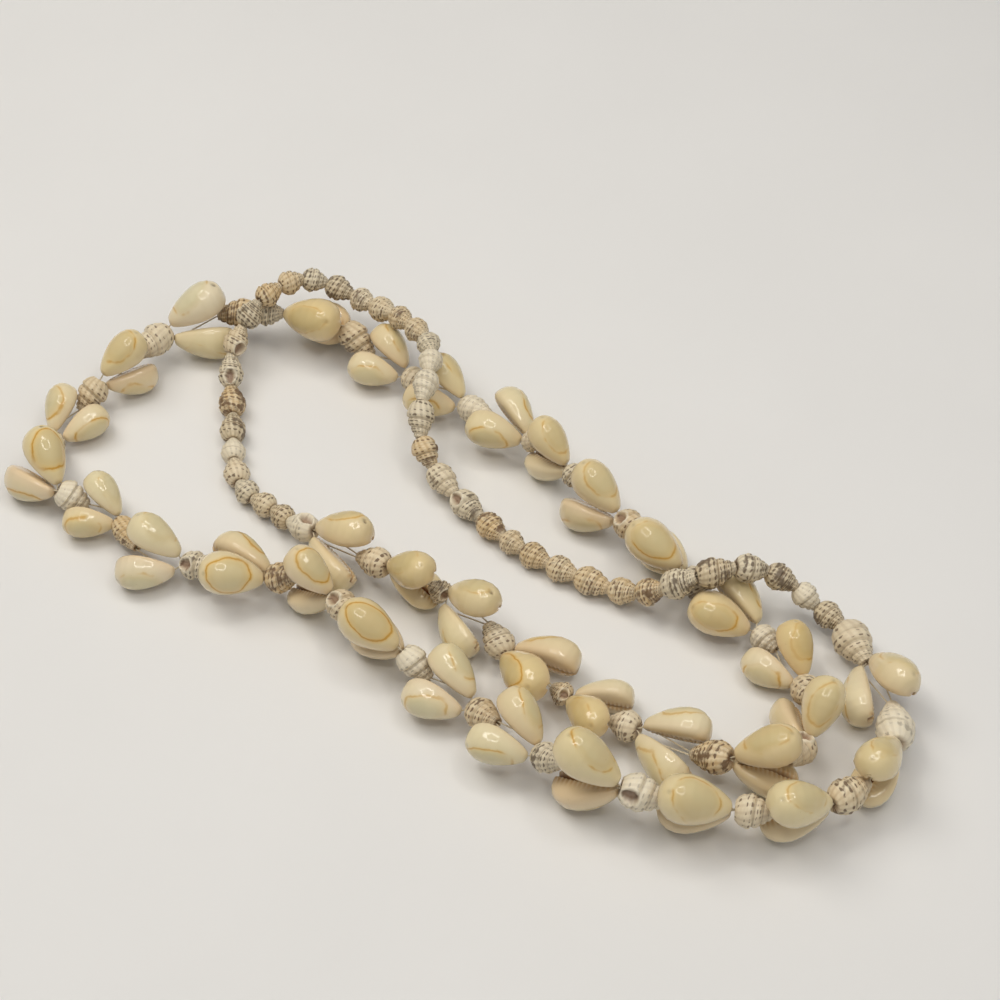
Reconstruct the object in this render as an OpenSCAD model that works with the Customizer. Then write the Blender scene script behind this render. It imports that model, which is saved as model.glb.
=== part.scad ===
// A cowrie necklace laid on a table: 33 pairs of ring cowries with small whelks between them, and a
// string of small whelks that closes the loop. Every shell is drilled and sits on a doubled thread.

/* [Cowries] */
// Length of a cowrie whose size share is 1
cowrie_l = 16.6; // [14:0.5:19]
// Width of that cowrie
cowrie_w = 11.2; // [9:0.2:13]
// Height of that cowrie, from its base to its back
cowrie_h = 8; // [7:0.2:10]
// How much its narrow end dips towards the base, in degrees
nose_down = 5; // [0:1:8]
// Width of the slot along its base
slot_w = 1.1; // [0.6:0.1:1.6]
// Depth of that slot
slot_d = 2; // [1:0.2:3]

/* [Whelks between the pairs] */
// Length of a whelk whose length share is 1
spacer_l = 9.8; // [8:0.5:12]
// Width of a whelk whose width share is 1
spacer_w = 8; // [6.5:0.25:9]
// How far its spire pokes into the mouth of a pair
poke = 2.9; // [1:0.1:4]

/* [Whelks of the closing string] */
// Length of a whelk whose length share is 1
back_l = 9.9; // [8:0.1:12]
// Width of a whelk whose width share is 1
back_w = 7.9; // [6:0.1:9]

/* [Thread] */
// Thickness of each of the two threads
thread_d = 0.4; // [0.3:0.05:0.6]
// Clearance between the threads and the drilled holes
hole_play = 0.2; // [0.1:0.05:0.3]
// Shell left round a hole at the end of a whelk
end_wall = 0.35; // [0.2:0.05:0.6]

/* [Gaps] */
// Gap between one shell and the next along the thread
bead_gap = 0.9; // [0.4:0.1:1]
// Gap between the two narrow ends of a pair
pair_gap = 0.3; // [0.2:0.1:1]
// Room for the tilted narrow ends behind their whelk
hinge_room = 1; // [0.8:0.1:2]

/* [Hidden] */
// Columns of PAIRS: size share; roll of the pair about the thread, where 0 has its first shell on top
// and 90 has it on the left; half the mouth, in half widths of the whelk that pokes into it; how far
// both backs lean up from that roll, in degrees.
SIZE = 0;
ROLL = 1;
MOUTH = 2;
LEAN = 3;
PAIRS = [
    [1.00, 40, 1.09, 18], [0.90, -15, 1.81, 0], [0.94, 40, 1.09, 33], [1.02, -75, 1.45, 30],
    [0.88, 110, 1.45, 22], [1.00, 70, 0.86, 5], [1.00, 5, 1.27, 0], [0.92, -35, 1.80, 15],
    [0.86, -60, 1.36, 33], [0.98, 80, 0.95, 28], [1.00, 30, 0.95, 0], [0.95, -20, 1.31, 25],
    [0.86, -5, 1.63, 0], [0.93, 92, 1.09, 16], [0.86, -70, 1.09, 30], [0.84, -72, 0.91, 34],
    [1.06, 40, 0.91, 0], [1.02, -31, 0.95, 28], [0.90, -18, 0.73, 24], [0.82, -70, 1.00, 32],
    [0.98, 37, 1.22, 15], [0.80, 66, 1.30, 29], [0.92, 50, 1.16, 33], [1.00, -70, 1.00, 24],
    [0.88, 0, 1.63, 0], [1.02, -20, 1.04, 0], [0.92, 68, 0.86, 32], [0.92, 68, 1.13, 34],
    [1.08, 0, 1.86, 0], [1.08, -20, 0.82, 0], [1.02, -15, 1.18, 0], [0.95, 0, 0.86, 0],
    [0.98, -54, 0.95, 30]
];
// From this pair on, counted from 0, the mouths look back along the thread instead of forward.
TURN = 16;

// Columns of SPACERS and BACK: length share; width share; turn of the shell's own mouth about the
// thread, 0 up and 90 to the left. BACK adds how far the string is lifted, in widths of a cowrie.
LONG = 0;
WIDE = 1;
FACE = 2;
LIFT = 3;
SPACERS = [
    [0.95, 0.95, 170], [0.55, 0.75, -40], [0.95, 0.95, 200], [0.55, 0.75, -30], [0.80, 0.95, 160],
    [1.10, 1.01, 150], [0.95, 0.95, 0], [1.05, 0.95, 190], [0.75, 0.85, 170], [1.05, 0.95, 200],
    [0.95, 0.95, 30], [0.70, 0.80, 170], [0.50, 0.70, 190], [1.00, 0.90, 160], [0.75, 0.85, 180],
    [1.15, 1.00, 170], [0.75, 0.85, 200], [1.10, 1.00, 150], [1.20, 1.05, 170], [1.00, 0.95, 190],
    [1.35, 0.95, 160], [0.90, 0.95, 170], [1.18, 0.78, 180], [0.90, 0.90, -40], [0.90, 0.95, 170],
    [0.95, 0.95, -30], [1.00, 0.90, 150], [0.95, 0.95, 180], [1.00, 0.90, 200], [1.15, 1.10, -60],
    [0.90, 1.00, 160], [1.15, 1.05, 170], [1.50, 1.15, 180]
];
BACK = [
    [1.20, 1.20, 160, 0.10], [0.80, 0.85, 200, 0.15], [0.75, 0.80, 180, 0.30], [0.85, 0.85, 150, 0.62],
    [0.90, 0.90, 170, 0.93], [1.00, 0.95, 200, 1.18], [0.95, 0.95, 180, 1.08], [0.80, 0.85, 160, 0.64],
    [0.80, 0.85, 190, 0.24], [0.95, 0.90, 170, 0.02], [0.80, 0.85, 210, 0.02], [0.80, 0.85, 150, 0.02],
    [0.65, 0.80, 180, 0.02], [0.85, 0.85, 200, 0.02], [1.00, 0.90, 40, 0.02], [1.00, 0.90, 170, 0.05],
    [0.85, 0.85, 190, 0.25], [1.00, 0.90, 160, 0.62], [0.90, 0.85, 180, 1.06], [0.70, 0.80, 200, 1.26],
    [0.65, 0.80, 170, 1.26], [0.70, 0.80, 150, 1.24], [0.70, 0.80, 190, 1.18], [0.85, 0.85, 180, 1.08],
    [0.70, 0.80, 160, 0.82], [0.80, 0.85, 200, 0.82], [0.70, 0.80, 170, 1.02], [0.70, 0.80, 180, 1.25],
    [0.75, 0.80, 190, 1.28], [0.80, 0.85, 160, 1.20], [0.85, 0.82, 60, 0.80], [0.95, 0.82, 0, 0.46],
    [0.95, 0.90, 180, 0.10], [0.90, 0.85, 170, 0.02], [0.70, 0.80, 200, 0.02], [0.80, 0.85, 180, 0.02],
    [0.65, 0.80, 160, 0.02], [0.70, 0.80, 190, 0.02], [0.70, 0.80, 170, 0.05], [1.00, 0.90, 10, 0.12]
];

// Outline of a cowrie: share of its length from the narrow end, and share of its half width.
EGG = [
    [0, 0.15], [0.03, 0.26], [0.10, 0.44], [0.20, 0.62], [0.32, 0.79], [0.46, 0.93],
    [0.60, 1], [0.73, 0.97], [0.84, 0.84], [0.92, 0.65], [0.97, 0.42], [1, 0.22]
];
// Where a cowrie's turning axis is cowrie_h - cowrie_w / 2 above its base, as a share of its length
EVEN_AT = 0.55;
// Outline of a whelk between its two ends: share of its length from the spire, and of its half width.
// The small steps back are the seams between the whorls.
WHORLS = [
    [0.09, 0.42], [0.12, 0.40], [0.23, 0.60], [0.27, 0.58], [0.42, 0.82], [0.46, 0.81],
    [0.60, 1], [0.72, 0.99], [0.84, 0.85], [0.93, 0.62]
];

// Round points that the thread passes on the table, from the start of the first pair round the loop.
ROUTE = [
    [-33, 3], [-9, -13], [7, -21], [20, -37.8], [54, -60.6], [79, -70], [89, -51], [81, -30],
    [68, -19], [51, -1], [25, 30], [14, 41], [-15, 63], [-34, 76], [-67, 78], [-86, 61],
    [-101, 42], [-105, 20], [-85.5, 12.5], [-75, -2], [-35, -14], [-19, -29], [1, -44], [17.5, -59.5],
    [35, -74.5], [63, -81], [89, -81.2], [108.5, -59.5], [102, -33], [95, -22], [81, -14], [64, -17],
    [51, -16], [21, 0], [-1, 23], [-7, 35], [-4, 58], [-13, 71], [-25, 82], [-38, 85],
    [-50, 77], [-58, 65.5], [-57, 49], [-54, 24], [-44, 14]
];
STEPS = 16;

// Kinds of bead on the thread
PAIR = 0;
SPACER = 1;
LINK = 2;

// Facets round a shell, and sides of a thread
round_fn = 48;
thread_sides = 6;
// How far a cut runs past the face it starts from
over = 1;

// A cowrie's slot: where it starts and where it bows most, as shares of the length, and the radius of
// its bow in lengths
slot_start = 0.15;
slot_middle = 0.4;
slot_bow = 2.2;
// A whelk's mouth: where it starts as a share of the length, how far out its middle lies and how wide
// it is in half widths
lip_start = 0.58;
lip_out = 0.98;
lip_wide = 0.3;

// Half the distance between the two threads inside a whelk in thread thicknesses, and as a length
thread_apart = 0.875;
thread_off = thread_d * thread_apart;
// Radius of a whelk's hole
hole_r = thread_off + thread_d / 2 + hole_play;
// Radius of a cowrie's own hole, the shell left between it and the base, and how far its middle lies
// from the thread's middle line
tip_hole_r = thread_d / 2 + 2 * hole_play;
base_wall = 0.4;
function tip_hole_off(i) = stand(i) + tip_hole_r + base_wall;
// How far along a pair its holes reach, as a share of a cowrie and as a length
tip_hole_share = 0.3;
tip_hole_l = tip_hole_share * cowrie_l;
// Where a thread reaches a pair's holes, as a share of hinge_room
tip_entry = 1.05;

function heading(v) = atan2(v.y, v.x);
function way(i) = i < TURN ? 1 : -1;
function long(i) = cowrie_l * PAIRS[i][SIZE];
function half_w(i) = cowrie_w / 2 * PAIRS[i][SIZE];
// Height of a cowrie's turning axis over its base, at a share of its length
function axis_up(i, share) =
    (cowrie_h - cowrie_w / 2) * PAIRS[i][SIZE] + (share - EVEN_AT) * long(i) * tan(nose_down);
// Half width of its base there
function base_half(i, e) = sqrt(max(0, pow(half_w(i) * e[1], 2) - pow(axis_up(i, e[0]), 2)));
// The whelk that pokes into a pair's mouth, or lies at it
function guest(i) = i == TURN ? TURN - 1 : i;
function gape(i) = asin(PAIRS[i][MOUTH] * SPACERS[guest(i)][WIDE] * spacer_w / 2 / long(i));
// At the turning pair a whelk's wide end lies at the mouth, and only its rim goes in.
rim_share = 0.33;
function poked(i) = i == TURN ? rim_share * poke : poke;
function pair_l(i) = long(i) * cos(gape(i)) - poked(i) + hinge_room;
// The way of a back that would point towards turn, leant up, both counted from up to the left
function leant(i, turn) = turn - PAIRS[i][LEAN] * sign(sin(turn));
// How far a base stands off the thread, so that the upper rims of two leaning shells meet
function stand(i) =
    pair_gap / 2 + max([
        for (e = EGG) base_half(i, e) * tan(PAIRS[i][LEAN]) - e[0] * long(i) * sin(gape(i))
    ]);

// The order of the beads: each pair with its whelk, one whelk more after the turning pair, and
// then the closing string.
beads = [
    for (i = [0 : len(PAIRS) - 1]) each [
        [PAIR, i],
        if (i < len(PAIRS) - 1) [SPACER, i <= TURN ? i : i + 1],
        if (i == TURN) [SPACER, i + 1]
    ],
    for (j = [0 : len(BACK) - 1]) [LINK, j]
];

function bead_l(b) =
    b[0] == PAIR ? pair_l(b[1])
    : b[0] == SPACER ? spacer_l * SPACERS[b[1]][LONG]
    : back_l * BACK[b[1]][LONG];

// How far below the thread a shell reaches at one place of its outline, with its back towards turn
function depth(i, e, turn) =
    let (
        base = stand(i) + e[0] * long(i) * sin(gape(i)),
        up = cos(turn),
        round = half_w(i) * e[1],
        cut = round * up > axis_up(i, e[0])
    )
    cut ? base_half(i, e) * abs(sin(turn)) - base * up
    : round * norm([up * cos(gape(i)), sin(turn)]) - (base + axis_up(i, e[0]) * cos(gape(i))) * up;
// Height of the thread in a pair that rests on the table
function rest(i) =
    max([for (e = EGG, half = [0, 180]) depth(i, e, leant(i, PAIRS[i][ROLL] + half))]);
// A low pair is held up where its whelks would touch the table, or hang too steeply from a high pair
// within HANG pairs of it.
STEEP = 0.5;
HANG = 3;
function between(i) = SPACERS[i < TURN ? i : i + 1];
function strung(i, j) =
    i == j ? 0 : spacer_l * between(min(i, j))[LONG] + strung(i < j ? i + 1 : i - 1, j);
function held(i) =
    max([
        for (j = [max(i - 1, 0) : min(i, len(PAIRS) - 2)]) spacer_w / 2 * between(j)[WIDE],
        for (j = [max(i - HANG, 0) : min(i + HANG, len(PAIRS) - 1)]) rest(j) - STEEP * strung(i, j)
    ]);
function link_r(j) = back_w / 2 * BACK[j][WIDE];
function link_z(j) = max(link_r(j), link_r(max(j - 1, 0))) + cowrie_w * BACK[j][LIFT];
function start_z(n) =
    let (b = beads[n], before = beads[max(n - 1, 0)])
    b[0] == PAIR ? held(b[1])
    : b[0] == LINK ? link_z(b[1])
    : before[0] == PAIR ? held(before[1])
    : (held(TURN) + held(TURN + 1)) / 2;
heights = [for (n = [0 : len(beads) - 1]) start_z(n)];
function after(n) = (n + 1) % len(beads);
function rise(n) = beads[n][0] == PAIR ? 0 : heights[after(n)] - heights[n];
advance = [for (n = [0 : len(beads) - 1]) sqrt(pow(bead_l(beads[n]), 2) - pow(rise(n), 2))];

function sums(v) = [for (i = 0, s = 0; i <= len(v); s = s + (i < len(v) ? v[i] : 0), i = i + 1) s];
stations = sums(advance);

// The plan of the loop: a smooth closed curve through ROUTE, sized so that the beads fill it.
function turn_of(i) = ROUTE[(i + len(ROUTE)) % len(ROUTE)];
function smooth(a, b, c, d, t) =
    (2 * b + (c - a) * t + (2 * a - 5 * b + 4 * c - d) * t * t + (3 * b - a - 3 * c + d) * t * t * t) / 2;
plan = [
    for (i = [0 : len(ROUTE) - 1], k = [0 : STEPS - 1])
        smooth(turn_of(i - 1), turn_of(i), turn_of(i + 1), turn_of(i + 2), k / STEPS),
    ROUTE[0]
];
plan_far = sums([for (i = [0 : len(plan) - 2]) norm(plan[i + 1] - plan[i])]);
fit = stations[len(beads)] / plan_far[len(plan) - 1];
x_at = [for (i = [0 : len(plan) - 1]) [fit * plan_far[i], fit * plan[i].x]];
y_at = [for (i = [0 : len(plan) - 1]) [fit * plan_far[i], fit * plan[i].y]];
// Where each bead starts
spots = [
    for (n = [0 : len(beads)])
        [lookup(stations[n], x_at), lookup(stations[n], y_at), heights[n % len(beads)]]
];
function level(v) = [v.x, v.y, 0];
function bead_end(n) = beads[n][0] == PAIR ? level(spots[n + 1]) + [0, 0, spots[n].z] : spots[n + 1];
function unit(v) = v / norm(v);

// The roll of each pair, turned on by half turns so that the two threads never cross
function steady(i) =
    i == 0 ? PAIRS[0][ROLL] : PAIRS[i][ROLL] + 180 * round((steady(i - 1) - PAIRS[i][ROLL]) / 180);
last_roll = steady(len(PAIRS) - 1);
home_roll = PAIRS[0][ROLL] + 360 * round((last_roll - PAIRS[0][ROLL]) / 360);
function roll_at(n) =
    let (b = beads[n])
    b[0] == PAIR ? steady(b[1])
    : b[0] == SPACER ? steady(beads[n - 1][0] == PAIR ? beads[n - 1][1] : TURN)
    : last_roll + (home_roll - last_roll) * b[1] / len(BACK);

// One cowrie with its base at z = 0 and its narrow end at the origin
module cowrie(i) {
    outline = [
        [0, 0],
        for (e = EGG) [e[1] * half_w(i), e[0] * long(i)],
        [0, long(i)]
    ];
    size = PAIRS[i][SIZE];
    bend = slot_bow * long(i);
    difference() {
        translate([0, 0, axis_up(i, 0)]) rotate([0, 90 - nose_down, 0]) rotate_extrude($fn = round_fn)
            polygon(outline);
        translate([-long(i), -long(i), -2 * long(i)]) cube([3 * long(i), 2 * long(i), 2 * long(i)]);
        // The slot bows a little to one side and runs out at the wide end.
        translate([slot_start * long(i), 0, -over]) linear_extrude(slot_d * size + over) intersection() {
            translate([slot_middle * long(i), bend]) difference() {
                circle(bend + slot_w * size / 2, $fn = 4 * round_fn);
                circle(bend - slot_w * size / 2, $fn = 4 * round_fn);
            }
            translate([0, -long(i) / 4]) square([long(i), long(i) / 2]);
        }
    }
}

// A shell of a pair, hinged at the origin with its mouth along +X and its base towards z = 0
module half_pair(i) {
    difference() {
        translate([0, 0, stand(i)]) rotate([0, -gape(i), 0]) cowrie(i);
        translate([-2 * hinge_room, 0, tip_hole_off(i)]) rotate([0, 90, 0])
            cylinder(r = tip_hole_r, h = tip_hole_l + 2 * hinge_room, $fn = round_fn / 2);
    }
}

function bead_of_pair(i) = i <= TURN ? 2 * i : 2 * i + 1;

module cowrie_pair(i) {
    n = bead_of_pair(i);
    from = level(spots[n]);
    to = level(spots[n + 1]);
    run = unit(to - from);
    hinge = way(i) > 0 ? from + run * hinge_room : to - run * hinge_room;
    color([0.93, 0.88, 0.77]) translate(hinge + [0, 0, spots[n].z]) rotate([0, 0, heading(run * way(i))])
        for (half = [0, 180]) rotate([-way(i) * leant(i, PAIRS[i][ROLL] + half), 0, 0]) half_pair(i);
}

// A whelk along +X from its spire, drilled from end to end, with its own mouth on the side of +Z
module whelk(l, w) {
    outline = [
        [0, 0],
        [hole_r + end_wall, 0],
        for (e = WHORLS) [max(e[1] * w / 2, hole_r + end_wall), e[0] * l],
        [hole_r + end_wall, l],
        [0, l]
    ];
    lip_r = lip_wide * w / 2;
    difference() {
        rotate([0, 90, 0]) rotate_extrude($fn = round_fn) polygon(outline);
        translate([-over, 0, 0]) rotate([0, 90, 0])
            cylinder(r = hole_r, h = l + 2 * over, $fn = round_fn / 2);
        translate([lip_start * l, 0, lip_out * w / 2]) rotate([0, 90, 0])
            cylinder(r = lip_r, h = l, $fn = round_fn / 2);
    }
}

// A whelk laid from one point of the thread to the next, spire first or spire last
module laid_whelk(n, l, w, face, spire_first) {
    from = spots[n];
    to = bead_end(n);
    run = unit(to - from);
    gap = run * bead_gap / 2;
    end = spire_first ? from + gap : to - gap;
    along = spire_first ? run : -run;
    turn = spire_first ? -face : face;
    translate(end) rotate([0, -asin(along.z), heading(along)]) rotate([turn, 0, 0]) whelk(l - bead_gap, w);
}

module spacer_shells() {
    color([0.80, 0.70, 0.55]) for (n = [0 : len(beads) - 1]) if (beads[n][0] == SPACER) {
        row = SPACERS[beads[n][1]];
        laid_whelk(n, spacer_l * row[LONG], spacer_w * row[WIDE], row[FACE], beads[n][1] < TURN + 1);
    }
}

module back_shells() {
    color([0.62, 0.50, 0.38]) for (n = [0 : len(beads) - 1]) if (beads[n][0] == LINK) {
        row = BACK[beads[n][1]];
        laid_whelk(n, back_l * row[LONG], back_w * row[WIDE], row[FACE], true);
    }
}

// Points of one thread: beside the middle line in a whelk, further out through a cowrie's hole.
function left_of(run) = [-run.y, run.x, 0];
function beside(run, roll) = [0, 0, cos(roll)] + sin(roll) * left_of(unit(level(run)));
function thread_points(side) = [
    for (n = [0 : len(beads) - 1])
        let (
            run = bead_end(n) - spots[n],
            i = beads[n][1],
            turn = roll_at(n) + (side > 0 ? 0 : 180),
            in_hole = beads[n][0] == PAIR ? beside(run, leant(i, turn)) * tip_hole_off(i) : 0,
            entry = unit(run) * hinge_room * tip_entry,
            reach = unit(run) * tip_hole_l
        )
        each [
            spots[n] + beside(run, turn) * thread_off,
            if (beads[n][0] == PAIR && way(i) > 0)
                each [spots[n] + entry + in_hole, spots[n] + reach + in_hole],
            if (beads[n][0] == PAIR && way(i) < 0)
                each [bead_end(n) - reach + in_hole, bead_end(n) - entry + in_hole]
        ]
];
module thread_loop(side) {
    line = thread_points(side);
    count = len(line);
    side_turn = 360 / thread_sides;
    rings = [
        for (i = [0 : count - 1])
            let (
                back = unit(line[i] - line[(i + count - 1) % count]),
                on = unit(line[(i + 1) % count] - line[i]),
                run = unit(back + on),
                flat = unit(cross([0, 0, 1], run)),
                up = cross(run, flat)
            )
            [
                for (k = [0 : thread_sides - 1])
                    line[i] + thread_d / 2 * (cos(k * side_turn) * flat + sin(k * side_turn) * up)
            ]
    ];
    corner = function (i, k) (i % count) * thread_sides + k % thread_sides;
    polyhedron(
        [for (ring = rings) each ring],
        [for (i = [0 : count - 1], k = [0 : thread_sides - 1]) each [
            [corner(i, k), corner(i + 1, k), corner(i + 1, k + 1)],
            [corner(i, k), corner(i + 1, k + 1), corner(i, k + 1)]
        ]]
    );
}

module thread() {
    color([0.85, 0.82, 0.74]) {
        thread_loop(1);
        thread_loop(-1);
    }
}

function pair_name(i) = str("cowrie_pair_", i < 9 ? "0" : "", i + 1);

for (i = [0 : len(PAIRS) - 1]) cowrie_pair(i);
spacer_shells();
back_shells();
thread();
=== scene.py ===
"""The looks of the cowrie shell necklace: ring cowries in pairs, ribbed whelks, doubled thread.

Every shell is built around the axis of its own CAD solid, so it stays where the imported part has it.
"""

import math

import bpy
import numpy as np
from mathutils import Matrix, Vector


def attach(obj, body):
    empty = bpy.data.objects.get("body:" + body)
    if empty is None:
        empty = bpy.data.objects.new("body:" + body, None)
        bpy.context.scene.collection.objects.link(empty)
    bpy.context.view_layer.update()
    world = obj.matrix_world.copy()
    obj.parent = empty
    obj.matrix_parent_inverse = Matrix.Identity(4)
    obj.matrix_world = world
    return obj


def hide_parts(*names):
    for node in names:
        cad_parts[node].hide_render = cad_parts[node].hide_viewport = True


MM = 0.001
PAIRS = 33
TURN = 17  # the turning pair, whose neighbours' spires point both ways
COWRIE_L = 16.6 * MM  # length of a cowrie of size 1
RNG = np.random.default_rng(7)

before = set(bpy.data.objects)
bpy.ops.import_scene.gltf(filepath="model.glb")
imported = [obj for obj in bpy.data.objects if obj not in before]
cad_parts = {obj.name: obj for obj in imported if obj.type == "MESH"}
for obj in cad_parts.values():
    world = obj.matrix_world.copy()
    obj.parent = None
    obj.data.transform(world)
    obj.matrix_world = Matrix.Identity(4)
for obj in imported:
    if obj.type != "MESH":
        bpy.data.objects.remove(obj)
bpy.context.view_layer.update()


# Reading the CAD solids

FLAT_TRIES = 80  # how many of a solid's broadest directions are looked at for its flat ends
WELD = 0.002 * MM  # corners closer than this are one corner
SLIVER = 1e-12  # square metres; smaller triangles are left out
SAME_WAY = 0.012  # how far the normals of one flat face may differ
FLAT = 0.004 * MM  # how far a flat face's corners may lie off it
OPPOSITE = 0.01  # how far two ends may be from parallel
TOP_REACH = 10 * MM  # how much the way of a shell's back counts in finding the upper shell
NOSE_UP = 0.0965  # height of a cowrie's turning axis over its base at its narrow end, in lengths
TIP_SHARE = 0.2  # share of a whelk's length at each end in which its slimmer end is looked for
LIP_START = 0.58  # where a whelk's mouth starts in its CAD solid, as a share of its length
LIP_NEAR = 0.005  # how near a corner lies to that place, in lengths


def node_triangles(name):
    """The corners of a CAD node's triangles, in metres."""
    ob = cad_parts[name]
    mesh = ob.data
    mesh.calc_loop_triangles()
    co = np.empty(len(mesh.vertices) * 3)
    mesh.vertices.foreach_get("co", co)
    tri = np.empty(len(mesh.loop_triangles) * 3, int)
    mesh.loop_triangles.foreach_get("vertices", tri)
    return co.reshape(-1, 3)[tri.reshape(-1, 3)]


def loose_solids(tris):
    """Splits triangles into the solids that they form."""
    keys = np.round(tris.reshape(-1, 3) / WELD).astype(np.int64)
    ids = np.unique(keys, axis=0, return_inverse=True)[1].reshape(-1, 3)
    label = np.arange(ids.max() + 1)
    while True:
        low = label[ids].min(axis=1)
        fresh = label.copy()
        np.minimum.at(fresh, ids.ravel(), np.repeat(low, 3))
        fresh = fresh[fresh]
        if (fresh == label).all():
            break
        label = fresh
    groups = label[ids[:, 0]]
    return [tris[groups == g] for g in np.unique(groups)]


def flat_ends(tris):
    """The outer flat faces of a solid: normal, area and centre of each, the largest first."""
    cross = np.cross(tris[:, 1] - tris[:, 0], tris[:, 2] - tris[:, 0])
    area = np.linalg.norm(cross, axis=1) / 2
    solid = area > SLIVER
    tris, area, normal = tris[solid], area[solid], cross[solid] / (2 * area[solid][:, None])
    points = tris.reshape(-1, 3)
    keys, which = np.unique(np.round(normal, 2), axis=0, return_inverse=True)
    broad = np.argsort(-np.bincount(which.ravel(), area))[:FLAT_TRIES]
    faces = []
    for key in keys[broad]:
        same = (np.abs(normal - key) < SAME_WAY).all(axis=1)
        n = (normal[same] * area[same][:, None]).sum(axis=0)
        n /= np.linalg.norm(n)
        reach = points @ n
        top = reach.max()
        on = same & (np.abs(tris @ n - top) < FLAT).all(axis=1)
        if on.any():
            centre = (tris[on].mean(axis=1) * area[on][:, None]).sum(axis=0) / area[on].sum()
            faces.append((area[on].sum(), n, centre))
    return sorted(faces, key=lambda f: -f[0])


def axis_of(tris):
    """The axis that a solid was turned about, from its two opposite flat ends.

    Gives its direction, its length, the normal of the solid's largest flat face and both ends.
    """
    faces = flat_ends(tris)
    best = None
    for i, (_, n, centre) in enumerate(faces):
        for other, m, far in faces[i + 1:]:
            if np.linalg.norm(n + m) < OPPOSITE and (best is None or other > best[0]):
                best = (other, n, centre, far)
    _, n, centre, far = best
    reach = tris.reshape(-1, 3) @ n
    return n, reach.max() - reach.min(), faces[0][1], centre, far


class Shell:
    """A shell's own axes: from its narrow end along x, with its back or its mouth towards z."""

    def __init__(self, start, x, z, length, width):
        self.start, self.x, self.length, self.width = start, x, length, width
        self.z = z - x * (z @ x)
        self.z /= np.linalg.norm(self.z)
        self.y = np.cross(self.z, self.x)

    def place(self, local):
        return self.start + local @ np.array([self.x, self.y, self.z])

    @property
    def wide_end(self):
        return self.start + self.x * self.length


def read_cowries(name):
    """The two shells of a pair, the upper first. A shell's turning axis climbs to its wide end."""
    shells = []
    for tris in loose_solids(node_triangles(name)):
        n, length, base_out, _, _ = axis_of(tris)
        up = -base_out
        climb = n @ up
        if climb < 0:
            n, climb = -n, -climb
        level = math.sqrt(1 - climb ** 2)
        x = (n - up * climb) / level
        side = np.cross(up, x)
        points = tris.reshape(-1, 3)
        across = points @ side
        base = (points @ up).min()
        begin = ((points @ n).min() - (base + NOSE_UP * length) * climb) / level
        start = x * begin + side * (across.max() + across.min()) / 2 + up * base
        shells.append(Shell(start, x, up, length * level, across.max() - across.min()))
    return sorted(shells, key=lambda s: -s.start[2] - s.wide_end[2] - s.z[2] * TOP_REACH)


def read_whelks(name):
    """The whelks of a node, each from its spire, which is its slimmer end, with z to its mouth."""
    shells = []
    for tris in loose_solids(node_triangles(name)):
        n, length, _, one, two = axis_of(tris)
        points = tris.reshape(-1, 3)
        start = min((one, two), key=lambda c: c @ n)
        along = (points - start) @ n
        radial = points - start - along[:, None] * n
        reach = np.linalg.norm(radial, axis=1)
        head, foot = along < TIP_SHARE * length, along > (1 - TIP_SHARE) * length
        if reach[head].max() > reach[foot].max():
            start, n, along = start + n * length, -n, length - along
        lip = np.abs(along - LIP_START * length) < LIP_NEAR * length
        mouth = radial[lip].mean(axis=0)
        shells.append(Shell(start, n, mouth, length, 2 * reach.max()))
    return shells


def nearest(shells, place):
    """The shell whose narrow end is the nearest to a place."""
    return min(shells, key=lambda s: np.linalg.norm(s.start - place))


def chained(shells, place):
    """Whelks in their order on the thread, each one's spire by the last one's wide end."""
    left, order = list(shells), []
    while left:
        shell = nearest(left, place)
        left.remove(shell)
        order.append(shell)
        place = shell.wide_end
    return order


# Meshes

def add_object(name, data):
    """An object of this mesh, lamp or camera, in the scene."""
    ob = bpy.data.objects.new(name, data)
    bpy.context.scene.collection.objects.link(ob)
    return ob


def smoothstep(low, high, v):
    """0 up to low, 1 from high on, and smooth between them."""
    t = np.clip((v - low) / (high - low), 0, 1)
    return t * t * (3 - 2 * t)


def tube_faces(rings, around):
    """Quads of a closed tube of rings, with a fan at each end around one extra point."""
    i, j = np.meshgrid(np.arange(rings - 1), np.arange(around), indexing="ij")
    k = (j + 1) % around
    this, after = i * around, (i + 1) * around
    quads = np.stack([this + j, after + j, after + k, this + k], -1)
    j = np.arange(around)
    k = (j + 1) % around
    last = (rings - 1) * around
    first_point = rings * around
    near = np.stack([np.full(around, first_point), j, k], -1)
    far = np.stack([np.full(around, first_point + 1), last + k, last + j], -1)
    return quads.reshape(-1, 4), np.vstack([near, far])


def joined_mesh(name, parts, material):
    """One mesh of many shells: each part holds points, quads, triangles and named point values."""
    points, quads, fans, values = [], [], [], {}
    count = 0
    for part in parts:
        points.append(part["points"])
        quads.append(part["quads"] + count)
        fans.append(part["fans"] + count)
        for key, v in part["values"].items():
            values.setdefault(key, []).append(v)
        count += len(part["points"])
    mesh = bpy.data.meshes.new(name)
    mesh.from_pydata(
        np.vstack(points).tolist(), [], np.vstack(quads).tolist() + np.vstack(fans).tolist()
    )
    for key, v in values.items():
        attribute = mesh.attributes.new(key, "FLOAT", "POINT")
        attribute.data.foreach_set("value", np.concatenate(v).astype(np.float32))
    mesh.shade_smooth()
    mesh.update()
    mesh.materials.append(material)
    ob = add_object(name, mesh)
    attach(ob, "root")
    return ob


# Cowries

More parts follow.
